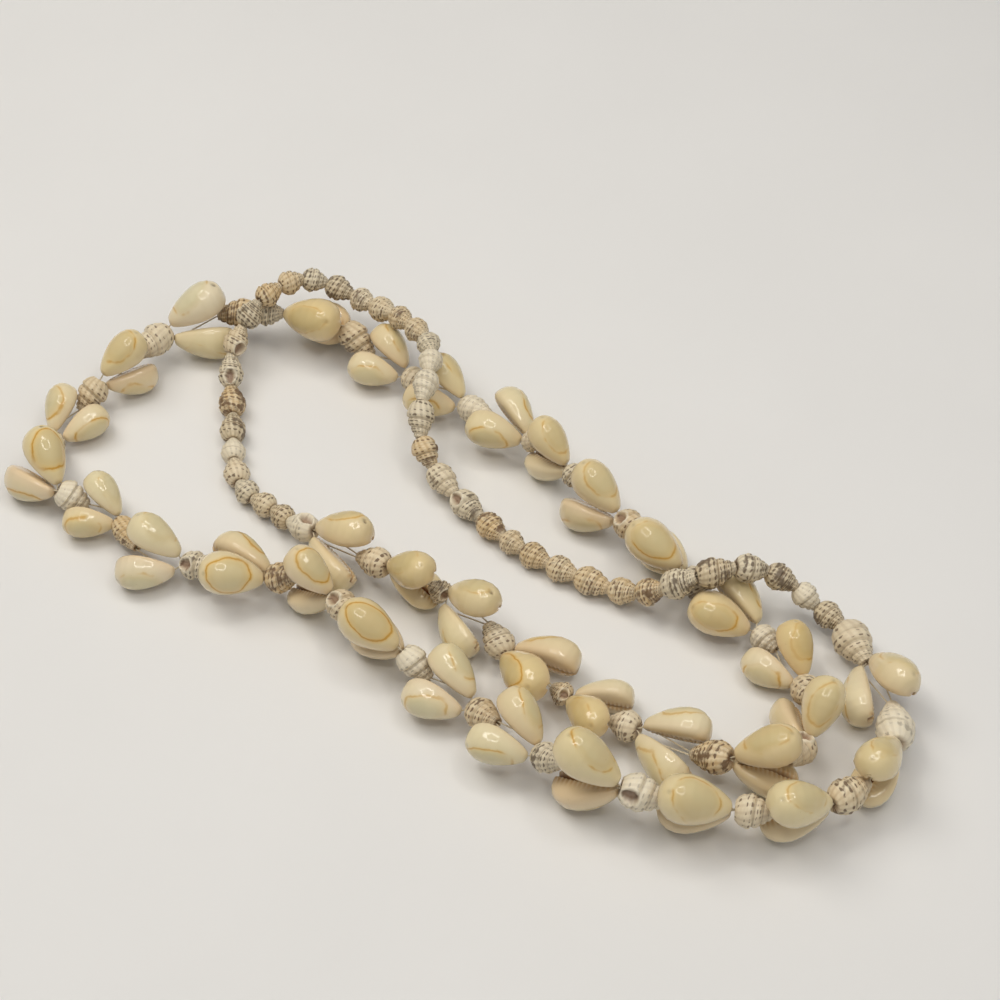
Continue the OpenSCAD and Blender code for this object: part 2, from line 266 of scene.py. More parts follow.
# Outline of a cowrie: share of its length from the narrow end, and share of its half width
EGG_AT = np.array([-0.05, 0, 0.03, 0.10, 0.20, 0.32, 0.46, 0.60, 0.73, 0.84, 0.92, 0.97, 1, 1.05])
EGG_WIDE = np.array([0.1, 0.19, 0.28, 0.45, 0.63, 0.79, 0.93, 1, 0.97, 0.85, 0.66, 0.46, 0.3, 0.2])
NOSE_CLIMB = 0.0872  # rise of its turning axis over its base, per length
BACK_COLUMNS = 26
BASE_COLUMNS = 22
COWRIE_ROWS = 60
TEETH = 13
# Half length and half width of the line round the back, in lengths of the shell
RING_LONG = 0.34
RING_WIDE = 0.235
EGG_STEPS = 551  # points at which the outline is smoothed
EGG_BLUR = 15  # how many of them to each side are blended
# How far the rounding of the narrow and of the wide end reaches, in lengths
NOSE_ROUND = 0.035
TAIL_ROUND = 0.05
# The slot bows by the square of the distance from SLOT_MIDDLE, over twice SLOT_BOW lengths
SLOT_MIDDLE = 0.4
SLOT_BOW = 2.2
PIT_AT = 0.90  # where the pit lies, as a share of the length
# How much of its CAD solid's half width and height a shell fills
FILL_WIDE = 0.995
FILL_HIGH = 0.985
# The rest is in mm on a cowrie of size 1.
MARGIN = 1.25  # height of the widest line over the base, at the narrow end
MARGIN_RISE = 0.2  # how much higher it is at the wide end
TAIL_LIFT = 0.9  # how much the very end is lifted besides
SLOT_HALF = 0.36  # half width of the slot at the narrow end
SLOT_OPENS = 0.24  # how much wider each half is at the wide end
SLOT_DEEP = 1.9
TOOTH_HIGH = 0.26
TOOTH_BED = 0.10  # how deep the gaps between the teeth are
LINE_DEEP = 0.05  # groove under the line
LINE_HALF = 0.35  # how far from the line the groove fades out
SADDLE_HIGH = 0.10  # rise of the back inside the line
PIT_HALF = 0.5
PIT_DEEP = 0.8
DENT = 0.09  # depth of the broad dents


def egg(t):
    """Share of the half width at each share of the length, and the rounding of both ends."""
    fine = np.linspace(EGG_AT[0], EGG_AT[-1], EGG_STEPS)
    weights = np.hanning(2 * EGG_BLUR + 1)
    rough = np.pad(np.interp(fine, EGG_AT, EGG_WIDE), EGG_BLUR, mode="edge")
    wide = np.interp(t, fine, np.convolve(rough, weights, "valid") / weights.sum())
    nose = np.sqrt(np.clip(1 - (1 - np.clip(t / NOSE_ROUND, 0, 1)) ** 2, 0, 1))
    tail = np.sqrt(np.clip(1 - (1 - np.clip((1 - t) / TAIL_ROUND, 0, 1)) ** 2, 0, 1))
    return wide, nose * tail


def ring_distance(x, y, length, looks):
    """Distance in mm to the line round the back, a slightly wavy oval; below 0 inside it."""
    long, wide = RING_LONG * length, RING_WIDE * length * looks["ring_wide"]
    u = (x - looks["ring_mid"] * length) / long
    v = (y - looks["ring_side"] * length) / wide
    rho = np.hypot(u, v)
    angle = np.arctan2(v, u)
    edge = 1 + 0.05 * np.sin(2 * angle + looks["wave_1"])
    edge = edge + 0.035 * np.sin(3 * angle + looks["wave_2"])
    edge = edge + 0.015 * np.sin(7 * angle + looks["wave_1"])
    return (rho - edge) * np.sqrt(long * wide) / MM


def cowrie(shell, looks):
    """A ring cowrie: rows along its length, each with columns over its back and over its base."""
    length, width = shell.length, shell.width
    size = length / COWRIE_L

    # The rows lie closer together towards both ends.
    t = np.linspace(0, 1, COWRIE_ROWS + 2)[1:-1]
    phi = np.arccos(1 - 2 * (t - 0.03 * np.sin(2 * np.pi * t)))
    t = (1 - np.cos(phi)) / 2

    wide, cap = egg(t)
    half = width / 2 * wide * cap * FILL_WIDE
    axis = (NOSE_UP + NOSE_CLIMB * t) * length
    margin = size * MM * (MARGIN + MARGIN_RISE * t + TAIL_LIFT * t ** 6)
    height = (axis + width / 2).max()
    crest = margin + (axis + FILL_HIGH * width / 2 * wide - margin) * cap
    floor = margin * (1 - np.minimum(1, 1.02 * np.sin(phi) ** 0.5))
    x = t * length

    # The back goes over from one margin to the other, the base under and back again.
    alpha = np.linspace(0, np.pi, BACK_COLUMNS + 1)[:-1]
    back_y = half[:, None] * np.cos(alpha)
    back_z = margin[:, None] + (crest - margin)[:, None] * np.sin(alpha) ** 0.94
    q = np.linspace(-1, 1, BASE_COLUMNS + 1)[:-1]
    bow = length * (t - SLOT_MIDDLE) ** 2 / (2 * SLOT_BOW)
    offset = np.sign(q) * np.abs(q) ** 1.7
    base_y = offset[None, :] * half[:, None] + (bow[:, None] * (1 - np.abs(q))[None, :])
    u = np.clip(np.abs(base_y) / half[:, None], 0, 1)
    base_z = margin[:, None] - (margin - floor)[:, None] * np.sqrt(np.clip(1 - u ** 2.6, 0, 1))

    # The slot, with teeth along both its sides
    from_slot = np.abs(base_y - bow[:, None])
    slot_half = size * MM * (SLOT_HALF + SLOT_OPENS * t)[:, None]
    runs = (smoothstep(0.04, 0.12, t) * (1 - 0.4 * smoothstep(0.93, 1.0, t)))[:, None]
    inside = (1 - smoothstep(0.55, 1.15, from_slot / slot_half)) * runs
    ridge = 0.5 - 0.5 * np.cos(2 * np.pi * TEETH * t / 0.9)[:, None]
    toothed = smoothstep(0.8, 1.1, from_slot / slot_half)
    toothed = toothed * (1 - smoothstep(1.2, 5.5, from_slot / slot_half)) * runs
    teeth = TOOTH_HIGH * toothed * ridge - TOOTH_BED * toothed
    base_z = base_z + size * MM * (SLOT_DEEP * inside + teeth)

    xs = np.repeat(x[:, None], BACK_COLUMNS + BASE_COLUMNS, axis=1)
    ys = np.hstack([back_y, base_y])
    zs = np.hstack([back_z, base_z])

    # A groove under the line, a low rise inside it, the pit near the wide end and broad dents
    ring = ring_distance(xs, ys, length, looks)
    on_back = np.hstack([np.ones_like(back_z), np.zeros_like(base_z)])
    zs = zs - on_back * size * MM * LINE_DEEP * np.exp(-((ring / LINE_HALF) ** 2))
    saddle = (1 - smoothstep(-1.2, 0.2, ring)) * smoothstep(0, 0.3, zs / height)
    zs = zs + on_back * size * MM * SADDLE_HIGH * saddle
    pit_gap = np.hypot(xs - PIT_AT * length, ys - looks["pit_side"] * MM) / MM / size
    pit = on_back * looks["pit"] * np.exp(-((pit_gap / PIT_HALF) ** 2))
    zs = zs - pit * PIT_DEEP * size * MM
    dent = np.sin(7 * t + looks["wave_2"])[:, None] * np.sin(ys / width * 7 + looks["wave_1"])
    zs = zs + on_back * DENT * MM * size * dent

    points = np.stack([xs, ys, zs], -1).reshape(-1, 3)
    tips = np.array([[0, 0, margin[0]], [length, 0, margin[-1]]])
    quads, fans = tube_faces(COWRIE_ROWS, BACK_COLUMNS + BASE_COLUMNS)
    belly = 1 - smoothstep(0.10, 0.55, zs / height)
    none = np.zeros_like(back_z)
    values = {
        "ring": ring,
        "belly": belly,
        "slot": np.hstack([none, inside]),
        "pit": pit,
        "teeth": np.hstack([none, toothed * ridge]),
    }
    flat = {k: np.concatenate([v.ravel(), [v[0].mean(), v[-1].mean()]]) for k, v in values.items()}
    for key in ("tan", "line", "pink", "seed"):
        flat[key] = np.full(len(points) + 2, looks[key])
    points = shell.place(np.vstack([points, tips]))
    return {"points": points, "quads": quads, "fans": fans, "values": flat}


# How tan each pair's shells are, the upper shell first: 0 is white, 1 is tan
COMMON_TAN = (0.5, 0.4)
TAN = {
    1: (0.55, 0.35), 2: (0.95, 0.65), 3: (0.55, 0.1), 4: (0.9, 0.5), 5: (0.75, 0.1), 6: (0.3, 0.25),
    7: (0.65, 0.4), 8: (0.6, 0.4), 9: (0.8, 0.1), 10: (0.75, 0.5), 12: (0.5, 0.3), 13: (0.6, 0.3),
    14: (0.2, 0.45), 16: (0.4, 0.2), 17: (1.0, 0.6), 18: (0.1, 0.3), 19: (0.6, 0.35),
    20: (0.3, 0.3), 21: (0.7, 0.15), 22: (0.2, 0.35), 23: (0.25, 0.1), 24: (0.5, 0.4),
    25: (0.5, 0.25), 26: (0.6, 0.4), 27: (0.25, 0.1), 28: (0.45, 0.15), 29: (0.45, 0.4),
    30: (0.5, 0.35), 31: (0.45, 0.4), 32: (0.65, 0.45), 33: (0.4, 0.25),
}
# How bold the lines round the backs of each pair are
COMMON_LINE = 0.6
LINE = {
    1: 0.7, 2: 0.25, 3: 0.4, 4: 1.0, 5: 0.5, 6: 0.6, 8: 0.5, 9: 0.9, 10: 0.9, 11: 0.9, 14: 0.9,
    15: 0.8, 16: 0.7, 17: 0.55, 19: 0.9, 20: 0.9, 21: 1.0, 22: 0.8, 23: 0.8, 24: 1.0, 25: 1.0,
    26: 1.0, 28: 0.8, 29: 0.9, 30: 0.7,
}
RING_MID = {4: 0.42}  # where the middle of a pair's rings lies, as a share of the length
PITS = {1, 3, 18, 21}  # pairs whose upper shell has a deep pit, with painted shade in it


def cowrie_looks(number, upper):
    """What one shell of a pair looks like. The draws stay in this order."""
    tan = TAN.get(number, COMMON_TAN)[0 if upper else 1]
    return {
        "tan": np.clip(tan + RNG.normal(0, 0.08), 0, 1),
        "line": LINE.get(number, COMMON_LINE) * RNG.uniform(0.9, 1.0),
        "pink": RNG.uniform(0, 1),
        "seed": RNG.uniform(0, 10),
        "ring_mid": RING_MID.get(number, RNG.uniform(0.48, 0.55)),
        "ring_side": RNG.uniform(-0.05, 0.05),
        "ring_wide": RNG.uniform(0.85, 1.12),
        "wave_1": RNG.uniform(0, 6.28),
        "wave_2": RNG.uniform(0, 6.28),
        "pit": 1.0 if number in PITS and upper else 0.35,
        "pit_side": RNG.uniform(-0.5, 0.5),
    }


# Whelks

WHELK_ROWS = 56
WHELK_COLUMNS = 56
RIBS = 13
RIB_SLANT = 1.5  # how far the ribs lean round the shell
WHORLS = 4.4
GROWTH = 4.2  # how fast the whorls widen along the shell
HOLE = 0.62 * MM  # radius
REACH = 0.38 * MM  # how far a whelk runs past each end of its CAD solid
TIP_DEEP = 0.9 * MM  # how deep the drilled hole is modelled at each end
TIP_RIM = 0.02 * MM  # how far inside each end its edge lies
# Where the body whorl starts, as shares of the length: it has no seams
BODY_FROM = 0.66
BODY_FULL = 0.78
# Half width at the seams, how far the whorls swell out from there, and the body whorl
SEAM_R = 0.80
WHORL_SWELL = 0.24
BODY_SWELL = 0.19
RIB_HIGH = 0.24 * MM
CORD_HIGH = 0.05 * MM
CORDS = 4  # cords on each whorl
# The mouth: where its middle lies along the shell, half its length in lengths, half its width in
# radians, how deep it is in half widths, and how far its lip stands out
MOUTH_AT = 0.79
MOUTH_LONG = 0.21
MOUTH_WIDE = 0.52
MOUTH_DEEP = 0.45
LIP_HIGH = 0.28 * MM
# The lip's middle line and half its width, where the mouth's edge is at 1
LIP_AT = 1.12
LIP_HALF = 0.17
# Half width of a whelk without its seams, from spire to wide end
SPIRE_AT = np.array([0, 0.05, 0.12, 0.25, 0.42, 0.58, 0.72, 0.84, 0.93, 0.98, 1.0])
SPIRE_R = np.array([0.34, 0.43, 0.50, 0.67, 0.88, 1.0, 1.0, 0.90, 0.76, 0.65, 0.52])


def whorl_phase(t):
    """How many turns the seam has made at each share of the length."""
    return np.log(1 + GROWTH * t) / np.log(1 + GROWTH) * WHORLS


def whelk(shell, looks):
    """A ribbed whelk: rows along its length around the drilled hole."""
    length, half = shell.length + 2 * REACH, shell.width / 2
    t = np.linspace(0, 1, WHELK_ROWS)
    theta = np.linspace(0, 2 * np.pi, WHELK_COLUMNS + 1)[:-1]
    smooth_r = np.interp(t, SPIRE_AT, SPIRE_R)
    smooth_r = np.convolve(np.pad(smooth_r, 2, mode="edge"), np.ones(5) / 5, "valid")
    turned = (theta[None, :] + looks["turn"]) / (2 * np.pi)

    # Whorls widen by the same ratio each turn, so the seam climbs as a spiral. From one seam to the
    # next, f goes from 0 to 1.
    climb = whorl_phase(t)[:, None]
    v = climb + turned
    f = v - np.floor(v)
    body = smoothstep(BODY_FROM, BODY_FULL, t)[:, None]
    bulge = np.clip(4 * f * (1 - f), 0, 1) ** 0.5
    shoulder = smoothstep(0.0, 0.22, f) * (1 - 0.35 * smoothstep(0.3, 1.0, f))
    rib = 0.5 + 0.5 * np.cos(theta[None, :] * RIBS + RIB_SLANT * climb + looks["rib_phase"])
    swell = 0.5 * bulge + 0.5 * shoulder
    r = smooth_r[:, None] * (SEAM_R + WHORL_SWELL * swell * (1 - body) + BODY_SWELL * body)
    raised = smoothstep(0.03, 0.15, t)[:, None] * (1 - 0.6 * smoothstep(0.85, 1.0, t)[:, None])
    ribbed = (rib - 0.5) * raised * (0.35 + 0.65 * np.maximum(bulge, body))
    r = r * half + looks["rough"] * RIB_HIGH * ribbed
    r = r + looks["rough"] * CORD_HIGH * np.cos(2 * np.pi * CORDS * v) * raised

    # The mouth: an oval hollow with a raised lip around it
    side = (theta[None, :] - np.pi / 2 + np.pi) % (2 * np.pi) - np.pi
    oval = np.hypot((t[:, None] - MOUTH_AT) / MOUTH_LONG, side / MOUTH_WIDE)
    hollow = 1 - smoothstep(0.70, 1.0, oval)
    lip = np.exp(-(((oval - LIP_AT) / LIP_HALF) ** 2))
    r = r * (1 - MOUTH_DEEP * hollow) + LIP_HIGH * lip
    x = np.repeat((t * length)[:, None], WHELK_COLUMNS, axis=1)

    # Both ends turn in to the drilled hole, with two rings each.
    def rings_at(*places):
        return np.repeat(np.array(places)[:, None], WHELK_COLUMNS, axis=1)

    near, far = rings_at(TIP_DEEP, TIP_RIM), rings_at(length - TIP_RIM, length - TIP_DEEP)
    xs = np.vstack([near, x, far]) - REACH
    rs = np.vstack([np.full_like(near, HOLE), r, np.full_like(far, HOLE)])
    points = np.stack([xs, rs * np.cos(theta), rs * np.sin(theta)], -1).reshape(-1, 3)
    tips = np.array([[TIP_DEEP - REACH, 0, 0], [length - TIP_DEEP - REACH, 0, 0]])
    quads, fans = tube_faces(WHELK_ROWS + 4, WHELK_COLUMNS)

    # The colours are drawn from each point's own place along and around the shell.
    values = {
        "hollow": hollow,
        "lip": np.clip(lip, 0, 1),
        "body": np.repeat(body, WHELK_COLUMNS, axis=1),
        "cosine": np.repeat(np.cos(theta)[None, :], WHELK_ROWS, axis=0),
        "sine": np.repeat(np.sin(theta)[None, :], WHELK_ROWS, axis=0),
        "along": np.repeat(t[:, None], WHELK_COLUMNS, axis=1),
    }
    flat = {}
    for key, value in values.items():
        inner = 1.0 if key == "hollow" else 0.0
        first, last = inner, inner
        if key in ("cosine", "sine", "along"):
            first, last = value[0], value[-1]
        first = np.broadcast_to(first, near.shape)
        last = np.broadcast_to(last, far.shape)
        rows = np.vstack([first, value, last])
        flat[key] = np.concatenate([rows.ravel(), [inner, inner]])
    for key in ("warm", "dark", "white", "seed", "turn", "rib_phase"):
        flat[key] = np.full(len(points) + 2, looks[key])
    points = shell.place(np.vstack([points, tips]))
    return {"points": points, "quads": quads, "fans": fans, "values": flat}


# Whelk looks by name: how warm, how dark and how white
WHELK_LOOKS = {
    "sand": (0.55, 0.45, 0.15), "cream": (0.45, 0.25, 0.45), "brown": (0.75, 0.75, 0.0),
    "grey": (0.1, 0.6, 0.35), "pale": (0.25, 0.12, 0.85), "rust": (0.7, 0.6, 0.1),
    "dark": (0.2, 1.0, 0.0), "pink": (0.7, 0.2, 0.35),
}
SPACER_LOOKS = (
    "pink dark cream sand cream brown pink sand pale grey sand grey cream pale cream sand grey "
    "brown cream sand cream pale brown grey brown sand pale sand grey pale cream sand pale"
).split()
BACK_LOOKS = (
    "cream dark pale dark grey dark grey brown rust rust sand brown sand brown grey cream rust "
    "grey pale pale grey sand rust sand cream dark grey sand brown dark sand grey brown dark pale "
    "cream grey sand dark pale"
).split()


def whelk_looks(name):
    """What one whelk looks like. The draws stay in this order."""
    warm, dark, white = WHELK_LOOKS[name]
    return {
        "warm": np.clip(warm + RNG.normal(0, 0.07), 0, 1),
        "dark": np.clip(dark + RNG.normal(0, 0.1), 0, 1),
        "white": white,
        "seed": RNG.uniform(0, 10),
        "turn": RNG.uniform(0, 6.28),
        "rib_phase": RNG.uniform(0, 6.28),
        "rough": RNG.uniform(0.8, 1.15),
    }


# Materials

class Nodes:
    """Short words for building a material."""

    def __init__(self, name):
        self.material = bpy.data.materials.new(name)
        self.material.use_nodes = True
        self.tree = self.material.node_tree
        self.shader = self.tree.nodes["Principled BSDF"]
        self.points = self.add("ShaderNodeTexCoord").outputs["Object"]

    def add(self, kind, **settings):
        node = self.tree.nodes.new(kind)
        for key, value in settings.items():
            setattr(node, key, value)
        return node

    def link(self, source, target):
        if isinstance(source, (int, float, tuple)):
            target.default_value = source
        else:
            self.tree.links.new(source, target)

    def value(self, name):
        """A named value of the mesh's points."""
        return self.add("ShaderNodeAttribute", attribute_name=name).outputs["Fac"]

    def math(self, operation, a, b=0.0, c=None):
        node = self.add("ShaderNodeMath", operation=operation)
        for socket, source in zip(node.inputs, (a, b) if c is None else (a, b, c)):
            self.link(source, socket)
        return node.outputs[0]

    def span(self, value, low, high, to_low=0.0, to_high=1.0):
        """Goes smoothly from to_low to to_high while the value goes from low to high."""
        node = self.add("ShaderNodeMapRange", interpolation_type="SMOOTHSTEP")
        for socket, source in zip(node.inputs, (value, low, high, to_low, to_high)):
            self.link(source, socket)
        return node.outputs[0]

    def mix(self, share, a, b, blend="MIX"):
        node = self.add("ShaderNodeMix", data_type="RGBA", blend_type=blend)
        self.link(share, node.inputs[0])
        self.link(a, node.inputs[6])
        self.link(b, node.inputs[7])
        return node.outputs[2]

    def noise(self, scale, detail, rough, seed=None):
        """Noise with this many waves in a metre; a seed gives each shell its own."""
        node = self.add("ShaderNodeTexNoise", noise_dimensions="4D" if seed is not None else "3D")
        self.link(self.points, node.inputs["Vector"])
        if seed is not None:
            self.link(seed, node.inputs["W"])
        node.inputs["Scale"].default_value = scale
        node.inputs["Detail"].default_value = detail
        node.inputs["Roughness"].default_value = rough
        return node.outputs["Fac"]

    def bump(self, height, strength, distance):
        node = self.add("ShaderNodeBump")
        node.inputs["Strength"].default_value = strength
        node.inputs["Distance"].default_value = distance
        self.link(height, node.inputs["Height"])
        self.link(node.outputs[0], self.shader.inputs["Normal"])


def rgb(red, green, blue):
    """A colour given as it shows on a screen, 0 to 255."""
    def linear(v):
        v /= 255
        return v / 12.92 if v <= 0.04045 else ((v + 0.055) / 1.055) ** 2.4
    return (linear(red), linear(green), linear(blue), 1.0)


# Where the two rows of dashes lie on a whelk's whorl, as shares of its height
UPPER_ROW = 0.32
LOWER_ROW = 0.74
# Warm tints that the colours are multiplied by: of the whitest and tannest cowries and the whelks
WHITE_TINT = (0.95, 0.93, 0.80, 1.0)
TAN_TINT = (0.94, 0.85, 0.59, 1.0)
WHELK_TINT = (0.93, 0.88, 0.76, 1.0)


def cowrie_material():
    """Glossy porcelain: a tan or white back inside the line, a paler rim, a pinkish base."""
    m = Nodes("cowrie")
    seed = m.value("seed")
    cloud = m.noise(150, 3, 0.5, seed)
    fine = m.noise(900, 2, 0.5, seed)
    ring = m.value("ring")
    wander = m.math("MULTIPLY_ADD", m.noise(330, 3, 0.6, seed), 1.1, -0.55)
    ring = m.math("ADD", ring, wander)
    tan = m.value("tan")

    # The rim of the back, and the saddle inside the line, which turns golden towards it
    rim = m.mix(m.value("pink"), rgb(236, 226, 200), rgb(237, 222, 202))
    rim = m.mix(m.math("MULTIPLY", tan, 0.55), rim, rgb(224, 204, 160))
    rim = m.mix(m.span(cloud, 0.42, 0.72, 0, 0.35), rim, rgb(224, 210, 174))
    saddle = m.mix(tan, rgb(226, 216, 190), rgb(212, 190, 148))
    saddle = m.mix(m.span(cloud, 0.35, 0.68, 0, 0.45), saddle, rgb(214, 206, 176))
    glow = m.math("MULTIPLY", m.span(ring, -2.2, -0.2, 0, 1), m.value("line"))
    saddle = m.mix(m.math("MULTIPLY", glow, 0.30), saddle, rgb(224, 192, 122))
    colour = m.mix(m.span(ring, -1.3, 0.6), saddle, rim)

    # The line round the back is broken in places, but for the boldest ones.
    broken = m.span(m.noise(170, 2, 0.5, seed), 0.43, 0.58, 0.0, 1.0)
    broken = m.math("MAXIMUM", broken, m.span(m.value("line"), 0.84, 0.98))
    on_back = m.math("SUBTRACT", 1.0, m.value("belly"))
    line = m.math("MULTIPLY", m.math("MULTIPLY", m.value("line"), on_back), broken)
    away = m.math("ABSOLUTE", ring)
    halo = m.math("MULTIPLY", m.span(away, 0.1, 0.8, 0.5, 0), line)
    core = m.math("MULTIPLY", m.span(away, 0.06, 0.30, 0.9, 0), line)
    colour = m.mix(core, m.mix(halo, colour, rgb(230, 192, 108)), rgb(204, 156, 62))

    # The base, its teeth, the slot and the pit, and a few specks. The slot's brown is partly its own
    # colour and partly painted shade inside the opening; the pit's dark is painted shade
    base = m.mix(m.value("pink"), rgb(234, 219, 194), rgb(230, 206, 182))
    colour = m.mix(m.math("MULTIPLY", m.value("belly"), 0.7), colour, base)
    colour = m.mix(m.math("MULTIPLY", m.value("teeth"), 0.7), colour, rgb(206, 160, 108))
    # Partly painted shade: the slot's own tan-brown, darkened for the shade inside the opening
    colour = m.mix(m.value("slot"), colour, rgb(150, 88, 46))
    # Painted shade: the pit is darkened as if shadowed inside
    colour = m.mix(m.math("MULTIPLY", m.value("pit"), 0.8), colour, rgb(84, 62, 40))
    specks = m.span(m.noise(1900, 2, 0.5, seed), 0.72, 0.78, 0, 0.3)
    colour = m.mix(specks, colour, rgb(168, 128, 84))
    tint = m.mix(tan, WHITE_TINT, TAN_TINT)
    m.link(m.mix(1.0, colour, tint, "MULTIPLY"), m.shader.inputs["Base Color"])
    m.link(m.span(fine, 0.3, 0.7, 0.36, 0.46), m.shader.inputs["Roughness"])
    m.shader.inputs["Specular IOR Level"].default_value = 0.25
    m.shader.inputs["Coat Weight"].default_value = 1.0
    m.shader.inputs["Coat Roughness"].default_value = 0.035
    m.shader.inputs["Coat IOR"].default_value = 1.45
    relief = m.math("ADD", m.math("MULTIPLY", cloud, 0.6), m.math("MULTIPLY", fine, 0.04))
    m.bump(relief, 0.2, 0.0004)
    return m.material


def whelk_material():
    """Matt and ribbed: a pale ground with rows of brown dashes."""
    m = Nodes("whelk")
    seed = m.value("seed")
    patch = m.noise(260, 3, 0.55, seed)
    blotch = m.noise(620, 3, 0.6, seed)
    grain = m.noise(1700, 3, 0.6, seed)
    warm, dark, white = m.value("warm"), m.value("dark"), m.value("white")

    # The same whorls and ribs as in the mesh, worked out again for each point
    theta = m.math("ARCTAN2", m.value("sine"), m.value("cosine"))
    grown = m.math("LOGARITHM", m.math("MULTIPLY_ADD", m.value("along"), GROWTH, 1.0), 1 + GROWTH)
    climb = m.math("MULTIPLY", grown, WHORLS)
    turned = m.math("MULTIPLY", m.math("ADD", theta, m.value("turn")), 0.5 / math.pi)
    v = m.math("ADD", climb, turned)
    phase = m.math("MULTIPLY_ADD", climb, RIB_SLANT, m.value("rib_phase"))
    phase = m.math("ADD", phase, m.math("MULTIPLY", theta, RIBS))
    rib = m.math("MULTIPLY_ADD", m.math("COSINE", phase), 0.5, 0.5)
    cord = m.math("COSINE", m.math("MULTIPLY", v, 2 * CORDS * math.pi))
    cord = m.math("MULTIPLY_ADD", cord, 0.5, 0.5)
    from_seam = m.math("ABSOLUTE", m.math("SUBTRACT", m.math("FRACT", m.math("ADD", v, 0.5)), 0.5))
    above = m.math("SUBTRACT", 1.0, m.value("body"))
    seam = m.math("MULTIPLY", m.span(from_seam, 0.02, 0.10, 1, 0), above)

    # A pale ground, with painted shade between the ribs and a painted highlight where ribs and cords
    # cross
    ground = m.mix(warm, rgb(214, 205, 188), rgb(222, 194, 148))
    ground = m.mix(m.span(patch, 0.42, 0.62, 0, 0.6), ground, rgb(238, 229, 208))
    ground = m.mix(white, ground, rgb(244, 239, 228))
    shade = m.mix(warm, rgb(168, 156, 138), rgb(184, 146, 98))
    # Painted shade: the ground darkens towards the grooves between the ribs
    low = m.math("MULTIPLY", m.span(rib, 0.05, 0.6, 0.4, 0), m.span(dark, 0, 1, 0.4, 1))
    colour = m.mix(low, ground, shade)
    # Painted highlight: a lighter colour on the raised knobs where ribs and cords cross
    painted_highlight_on_knobs = m.math("MULTIPLY", m.math("MULTIPLY", rib, cord), 0.45)
    colour = m.mix(painted_highlight_on_knobs, colour, rgb(242, 233, 212))

    # Two rows of dark dashes on each whorl, between the ribs, broken up by the shell's own patches
    bent = m.math("ADD", m.math("FRACT", v), m.math("MULTIPLY_ADD", blotch, 0.30, -0.15))
    from_upper = m.math("ABSOLUTE", m.math("SUBTRACT", bent, UPPER_ROW))
    from_lower = m.math("ABSOLUTE", m.math("SUBTRACT", bent, LOWER_ROW))
    upper = m.span(from_upper, 0.03, 0.13, 1, 0)
    lower = m.span(from_lower, 0.02, 0.10, 0.9, 0)
    row = m.math("MAXIMUM", upper, lower)
    gap = m.span(m.math("ADD", rib, m.math("MULTIPLY_ADD", grain, 0.9, -0.45)), 0.2, 1.0, 1, 0.25)
    dashes = m.math("MULTIPLY", row, gap)
    dashes = m.math("ADD", dashes, m.math("MULTIPLY_ADD", patch, 4.0, -2.05))
    dashes = m.math("ADD", dashes, m.math("MULTIPLY_ADD", blotch, 1.8, -0.9))
    dashes = m.math("ADD", dashes, m.math("MULTIPLY_ADD", dark, 0.6, -0.22))
    dashes = m.span(dashes, 0.30, 0.90, 0, 1)
    dashes = m.math("MULTIPLY", dashes, m.span(white, 0.3, 1.0, 0.85, 0.35))
    colour = m.mix(dashes, colour, m.mix(warm, rgb(88, 74, 60), rgb(106, 72, 44)))

    # The seam, the worn spire, the white lip and the hollow of the mouth, whose mauve-brown is partly
    # its own colour and partly painted shade
    seam_dark = m.math("MULTIPLY", seam, m.span(dark, 0, 1, 0.3, 0.7))
    colour = m.mix(seam_dark, colour, rgb(128, 104, 78))
    top = m.span(m.value("along"), 0.0, 0.2, 0.5, 0)
    colour = m.mix(top, colour, rgb(238, 229, 212))
    colour = m.mix(m.math("MULTIPLY", m.value("lip"), 0.85), colour, rgb(242, 236, 224))
    # Partly painted shade: the mouth's own mauve-brown, darkened for the shade in the hollow
    inner = m.mix(patch, rgb(120, 92, 78), rgb(172, 144, 124))
    colour = m.mix(m.math("MULTIPLY", m.value("hollow"), 0.85), colour, inner)
    m.link(m.mix(1.0, colour, WHELK_TINT, "MULTIPLY"), m.shader.inputs["Base Color"])
    m.link(m.span(rib, 0.0, 1.0, 0.60, 0.42), m.shader.inputs["Roughness"])
    m.shader.inputs["Coat Weight"].default_value = 0.08
    m.shader.inputs["Coat Roughness"].default_value = 0.3
    bead = m.math("MULTIPLY", rib, m.math("MULTIPLY_ADD", cord, 0.7, 0.3))
    relief = m.math("MULTIPLY_ADD", bead, 1.0, m.math("MULTIPLY", grain, 0.25))
    relief = m.math("SUBTRACT", relief, m.math("MULTIPLY", seam, 0.8))
    m.bump(relief, 0.55, 0.00022)
    return m.material


def thread_material():
    m = Nodes("thread")
    fibre = m.noise(2600, 3, 0.6)
    colour = m.mix(m.span(fibre, 0.35, 0.65), rgb(206, 192, 160), rgb(232, 220, 192))
    m.link(colour, m.shader.inputs["Base Color"])
    m.shader.inputs["Roughness"].default_value = 0.85
    m.bump(fibre, 0.6, 0.0001)
    return m.material


# Building the necklace

def build_cowries(material):
    """Builds the pairs and gives the middle of each pair's mouth."""
    mouths = {}
    for number in range(1, PAIRS + 1):
        node = f"cowrie_pair_{number:02d}"
        shells = read_cowries(node)
        parts = [cowrie(s, cowrie_looks(number, k == 0)) for k, s in enumerate(shells)]
        ob = joined_mesh(f"cowries_{number:02d}", parts, material)
        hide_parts(node)
        mouths[number] = (shells[0].wide_end + shells[1].wide_end) / 2
    return mouths


